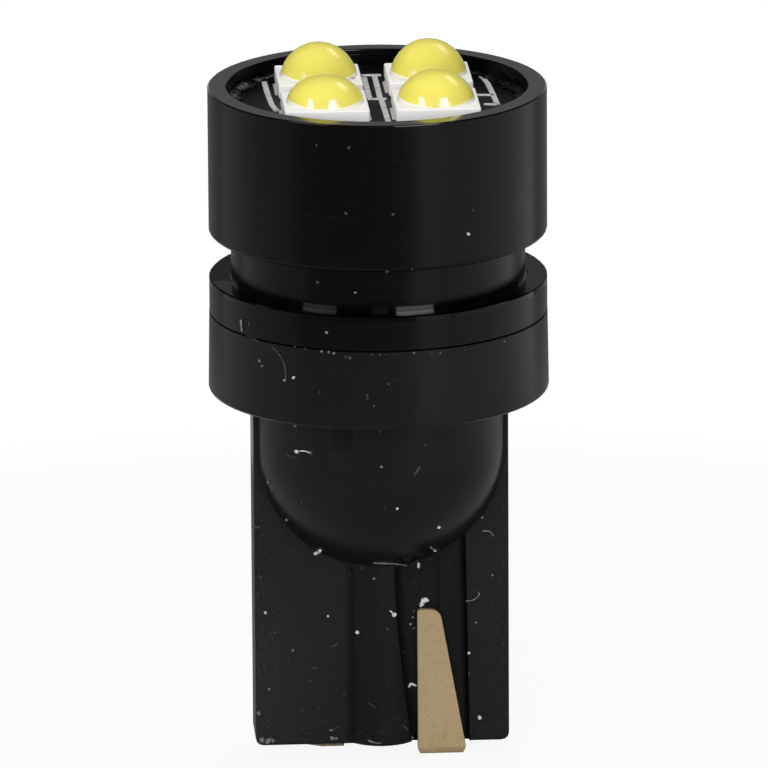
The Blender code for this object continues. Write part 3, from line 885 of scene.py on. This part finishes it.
def terminalModel():
    # one terminal, on the side of a package that faces +X, with its soldered pad
    bm = bmesh.new()
    half = terminals["length"] / 2
    inside = -terminals["inside"]
    low, high = terminals["heights"]
    addBlock(bm, (inside, -half, low), (terminals["reach"], half, high), terminals["edge"])
    half = half + terminals["padBeyond"]
    low, high = terminals["padHeights"]
    addBlock(bm, (inside, -half, low), (terminals["padReach"], half, high), terminals["padEdge"])
    bmesh.ops.scale(bm, vec=(mm, mm, mm), verts=bm.verts)
    mesh = bpy.data.meshes.new("terminal")
    bm.to_mesh(mesh)
    bm.free()
    return mesh


sides = []
for i in range(1, 5):
    skin("led_body_%d" % i, packageMat, crease=packageLook["crease"])
    name = "led_lens_%d" % i
    low, high = boxInMm(name)
    lensMat = newMaterial("siliconeLens%d" % i, {"Specular IOR Level": lensLook["gloss"]},
                          paintLens((low + high) / 2, low.z, lensLook["glintShares"][i - 1]))
    skin(name, lensMat, crease=lensLook["crease"],
         reshape=squashed(low.z + lensLook["footHeight"], lensLook["heights"][i - 1]))
    low, high = boxInMm("led_body_%d" % i)
    middle = (low.y + high.y) / 2
    sides += [(Vector((high.x, middle, boardTop)), 1.0, 0), (Vector((low.x, middle, boardTop)), 1.0, 2)]
repeated("ledTerminals", sides, terminalModel(), tinMat, 0.0, 0)
print("LEDs dressed")


# electronics inside the base
insideLook = {
    "boardTone": (0.03, 0.16, 0.07, 1),
    "boardLight": (0.06, 0.24, 0.11, 1),
    "chipTone": (0.02, 0.02, 0.021, 1),
    "chipLight": (0.05, 0.05, 0.05, 1),
    "tanTone": (0.42, 0.3, 0.18, 1),
    "tanDark": (0.3, 0.21, 0.12, 1),
    "endTone": (0.62, 0.61, 0.58, 1),
    # where the tin begins, as a share of half the length, and how far from its middle a chip's
    # leads leave it
    "resistorEnd": 0.68,
    "capacitorEnd": 0.64,
    "leadsFrom": 1.96,
}


def paintPlain(dark, light, scale, roughness):
    def paint(at):
        mottle = cloudy(at, scale, 3.0)
        return {
            "Base Color": blended(rising(mottle, 0.35, 0.7), dark, light),
            "Roughness": roughness + (mottle - 0.5) * 0.2,
            "Normal": raised(mottle, 0.01, 0.4),
        }
    return paint


def paintEnds(body, light, endAt):
    # a ceramic block whose two ends along X are tinned
    def paint(at):
        mottle = cloudy(at, 4.0, 3.0)
        ends = rising(absolute(axes(at)[0]), endAt - 0.02, endAt + 0.02)
        tone = blended(rising(mottle, 0.35, 0.7), body, light)
        return {
            "Base Color": blended(ends, tone, insideLook["endTone"]),
            "Roughness": 0.5 - ends * 0.15 + (mottle - 0.5) * 0.15,
            "Metallic": ends * 0.8,
            "Normal": raised(mottle, 0.01, 0.4),
        }
    return paint


def paintLeaded(axis, middle, reach):
    # a moulded package whose leads stand out past its body along one axis
    def paint(at):
        mottle = cloudy(at, 5.0, 3.0)
        leads = absolute(axes(at)[axis] - middle) > reach
        tone = blended(rising(mottle, 0.35, 0.7), insideLook["chipTone"], insideLook["chipLight"])
        return {
            "Base Color": blended(leads, tone, insideLook["endTone"]),
            "Roughness": 0.6 - leads * 0.25 + (mottle - 0.5) * 0.15,
            "Metallic": leads * 0.85,
            "Normal": raised(mottle, 0.01, 0.4),
        }
    return paint


dress("driver_board", newMaterial("glassBoard", {}, paintPlain(
    insideLook["boardTone"], insideLook["boardLight"], 3.0, 0.45)))
pinMat = newMaterial("pinTin", {"Metallic": 0.9}, paintPlain(tinLook["dullTone"], tinLook["tone"], 3.0, 0.3))
for name in ("feed_pin_left", "feed_pin_right"):
    skin(name, pinMat)
for name in ("load_resistor_1", "load_resistor_2", "sense_resistor"):
    tin = boxInMm(name)[1].x * insideLook["resistorEnd"]
    dress(name, newMaterial(name + "Glaze", {}, paintEnds(
        insideLook["chipTone"], insideLook["chipLight"], tin)))
tin = boxInMm("filter_capacitor")[1].x * insideLook["capacitorEnd"]
dress("filter_capacitor", newMaterial("tanCeramic", {}, paintEnds(
    insideLook["tanTone"], insideLook["tanDark"], tin)))
leaded = (("bridge_rectifier", 0, "rectifierPlastic"), ("regulator_chip", 2, "regulatorPlastic"))
for name, axis, title in leaded:
    low, high = boxInMm(name)
    middle = (low[axis] + high[axis]) / 2
    dress(name, newMaterial(title, {}, paintLeaded(axis, middle, insideLook["leadsFrom"])))
print("electronics dressed")


# dust, crumbs and lint, and three painted highlights made like them, set down on the surface behind each spot
# of the photograph
litter = {
    "tones": {
        # the two tones between which each kind varies
        "bright": ((0.34, 0.335, 0.325, 1), (0.56, 0.55, 0.525, 1)),
        "pale": ((0.07, 0.068, 0.062, 1), (0.15, 0.146, 0.135, 1)),
        "faint": ((0.016, 0.0155, 0.015, 1), (0.036, 0.035, 0.033, 1)),
    },
    "roughness": 0.8,
    # the photograph's pixel behind which each crumb lies, across and down, and its size in mm
    "crumbs": {
        "bright": (
            (468, 233.8, 0.13), (293.8, 377.5, 0.13), (297, 451.4, 0.18), (394, 614.5, 0.2),
            (358, 632, 0.16), (421.5, 604, 0.2), (425.5, 600, 0.22), (423, 601, 0.2), (438.6, 527, 0.12),
            (434.5, 550, 0.13), (469, 653, 0.12), (479.6, 717.4, 0.17), (265.4, 612.4, 0.13),
            (397, 508.4, 0.11), (328, 616, 0.09), (353, 79, 0.12),
        ),
        "pale": (
            (295.4, 426, 0.12), (311, 452.6, 0.13), (381.4, 466.6, 0.13), (269, 482, 0.12),
            (287, 519.4, 0.12), (482, 517, 0.13), (262.5, 366, 0.1), (260, 361, 0.12), (285, 380, 0.12),
            (355.5, 292.5, 0.12), (326.8, 332.5, 0.12), (492.4, 575, 0.1), (293, 650, 0.12),
            (269, 689, 0.1), (476, 622.4, 0.1), (374, 578.4, 0.11), (331, 730, 0.12), (329, 352, 0.11),
            (322, 351.3, 0.1), (334, 353.2, 0.1), (332, 738, 0.2), (336, 738, 0.14), (412, 737, 0.13),
            (262, 739.5, 0.24), (268, 740.5, 0.24), (273, 740, 0.2), (253.5, 731, 0.18), (414, 611, 0.09),
            (413, 617, 0.1), (410.5, 624, 0.1), (414, 628, 0.08), (295, 347, 0.07), (413.8, 352.9, 0.09),
            (440, 352.6, 0.08), (504, 341.3, 0.07),
        ),
        "faint": (
            (316.5, 145, 0.1), (348.8, 147.5, 0.12), (346, 213, 0.15), (393, 214, 0.13), (472.5, 210, 0.08),
            (318, 282, 0.14), (387, 271, 0.13), (412, 269, 0.08), (388.8, 383.8, 0.1), (395, 380, 0.06),
            (320, 392, 0.09), (367, 395, 0.13), (367.5, 398, 0.12), (373.8, 406, 0.1), (425, 444.6, 0.1),
            (302, 502, 0.1), (385, 508.4, 0.07), (362.4, 568, 0.1), (259, 527, 0.1), (387, 628.6, 0.1),
            (315, 668, 0.08), (310, 680.6, 0.09), (264, 666, 0.1), (289, 661, 0.07), (322, 700, 0.06),
            (344, 694, 0.08), (471, 626, 0.06), (350, 357.5, 0.16), (346, 356.5, 0.12), (306, 349, 0.08),
            (372, 354.2, 0.08), (380, 354.4, 0.09), (386, 354.3, 0.07), (394, 354, 0.08), (431, 353, 0.07),
            # the last crumb of this row, at 380, 431, is a painted highlight on the collar's lower edge
            (465, 350, 0.07), (470, 348.8, 0.06), (490, 345, 0.06), (295, 438, 0.06), (380, 431, 0.12),
        ),
    },
    # kind, half width in mm, and the pixels that each thread passes
    "lint": (
        ("bright", 0.028, ((297, 451.4), (304, 450.8), (311, 452.6))),
        ("bright", 0.05, ((408.5, 687.5), (411, 683.6), (416.5, 686))),
        ("bright", 0.065, ((314, 554.2), (317.6, 552), (321.4, 549.4))),
        ("bright", 0.055, ((418.6, 562), (418.6, 568))),
        ("bright", 0.03, ((389.5, 610.3), (394, 614))),
        ("pale", 0.045, ((241.6, 319.5), (241.8, 325), (242.6, 331.5))),
        ("pale", 0.03, ((430, 546), (433, 549), (437, 551))),
        ("pale", 0.033, ((373, 562.6), (388, 563), (402, 564), (407, 566))),
        ("pale", 0.028, ((482, 531), (489, 531), (494, 536))),
        # a painted highlight on the bottom of the rib
        ("pale", 0.035, ((368, 740), (374, 742.3), (381, 743.2))),
        ("pale", 0.02, ((465, 601), (473, 600), (479, 595), (478, 591.6))),
        ("faint", 0.022, ((286, 452), (290, 456), (298, 457.4))),
        ("faint", 0.025, ((267, 470.6), (272, 469), (278, 464))),
        ("faint", 0.05, ((413.5, 475), (416.5, 471), (420, 465.5))),
        ("faint", 0.02, ((250, 527), (255, 526.5), (259, 527))),
        ("faint", 0.025, ((258, 574), (260, 577), (262, 578))),
        ("faint", 0.022, ((329, 646), (334, 646), (338, 642))),
        ("faint", 0.025, ((312, 667), (317, 669))),
        ("faint", 0.028, ((469, 671), (469, 677))),
        ("faint", 0.025, ((330, 730), (335, 728.5), (339, 726))),
        ("faint", 0.03, ((402, 725), (405, 727), (407, 730))),
        ("faint", 0.02, ((368, 703), (372, 705), (376, 708))),
        ("faint", 0.028, ((246, 336), (252, 338), (258.8, 341.8))),
        ("faint", 0.028, ((271, 345), (280, 355), (285, 366), (286, 380))),
        ("faint", 0.035, ((250, 321), (250, 326.5))),
        ("faint", 0.02, ((350, 55), (355, 54.8), (360, 54.6))),
        # a painted glint on the right of the neck, by the flange
        ("faint", 0.03, ((527, 269), (527.6, 275))),
    ),
    # how high over the surface their middles lie, as a share of the size and of the half width
    "crumbLift": 0.2,
    "threadLift": 0.6,
    "threadSteps": 4,
    "threadSides": 6,
    "seed": 7,
}


def paintLitter(dark, light):
    def paint(at):
        patch = cloudy(at, 6.0, 2.0)
        return {
            "Base Color": blended(rising(patch, 0.35, 0.7), dark, light),
            "Roughness": litter["roughness"] + (patch - 0.5) * 0.2,
        }
    return paint


def surfaceTree(names):
    verts = []
    faces = []
    for name in names:
        mesh = solids[name].data
        start = len(verts)
        verts += [v.co / mm for v in mesh.vertices]
        faces += [[start + i for i in f.vertices] for f in mesh.polygons]
    return BVHTree.FromPolygons(verts, faces)


packages = ["led_body_%d" % i for i in range(1, 5)]
outside = surfaceTree(["head_shell", "base_shell", "contact_front"] + packages)


def behindPixel(across, down):
    # the point of the bulb that the photograph shows at a pixel, and the way the surface faces
    half = view["pixels"] / 2
    scale = view["sensor"] / view["lens"] / view["pixels"]
    ray = ((right * (across - half) - up * (down - half)) * scale - back).normalized()
    spot, normal = outside.ray_cast(eye, ray)[:2]
    if spot is None:
        spot, normal = outside.find_nearest(eye + ray * view["distance"])[:2]
    return spot, normal if normal.dot(back) > 0 else -normal


def crumbModel():
    # a rough grain one millimetre across, scaled by each crumb's size
    bm = bmesh.new()
    bmesh.ops.create_icosphere(bm, subdivisions=2, radius=0.5)
    for vert in bm.verts:
        vert.co *= 1 + 0.55 * noise.noise(vert.co * 3.1 + Vector((2.3, 0.7, 5.1)))
    bmesh.ops.scale(bm, vec=(mm, mm, mm * 0.8), verts=bm.verts)
    mesh = bpy.data.meshes.new("crumb")
    bm.to_mesh(mesh)
    bm.free()
    return mesh


def addThread(bm, points, radius):
    # a thin closed tube along its points
    sides = litter["threadSides"]
    rings = []
    for i, point in enumerate(points):
        forward = (points[min(len(points) - 1, i + 1)] - points[max(0, i - 1)]).normalized()
        side = forward.cross(Vector((0.1, 1, 0.2))).normalized()
        over = forward.cross(side)
        thin = radius * (0.35 if i in (0, len(points) - 1) else 1.0)
        rings.append([bm.verts.new(point + (side * math.cos(a) + over * math.sin(a)) * thin)
                      for a in (2 * math.pi * k / sides for k in range(sides))])
    for ring, following in zip(rings, rings[1:]):
        for k in range(sides):
            bm.faces.new((ring[k], ring[(k + 1) % sides], following[(k + 1) % sides], following[k]))
    bm.faces.new(rings[0])
    bm.faces.new(rings[-1])


def smoothPath(points, steps):
    # a smooth curve through points in the photograph
    path = []
    for i in range(len(points) - 1):
        p0 = points[max(0, i - 1)]
        p1, p2 = points[i], points[i + 1]
        p3 = points[min(len(points) - 1, i + 2)]
        for s in range(steps):
            t = s / steps
            path.append(tuple(0.5 * (2 * b + (c - a) * t + (2 * a - 5 * b + 4 * c - d) * t * t
                                     + (3 * b - a - 3 * c + d) * t ** 3)
                              for a, b, c, d in zip(p0, p1, p2, p3)))
    return path + [points[-1]]


for kind, tones in litter["tones"].items():
    mat = newMaterial(kind + "Dust", {}, paintLitter(*tones))
    spots = []
    for across, down, size in litter["crumbs"][kind]:
        spot, normal = behindPixel(across, down)
        spots.append((spot + normal * size * litter["crumbLift"], size, 0))
    repeated(kind + "Crumbs", spots, crumbModel(), mat, 1.0, litter["seed"])
    bm = bmesh.new()
    for threadKind, radius, line in litter["lint"]:
        if threadKind == kind:
            path = []
            for across, down in smoothPath(line, litter["threadSteps"]):
                spot, normal = behindPixel(across, down)
                path.append(spot + normal * radius * litter["threadLift"])
            addThread(bm, path, radius)
    keep(kind + "Lint", bm, mat, smooth=True)
print("dust and lint set down")
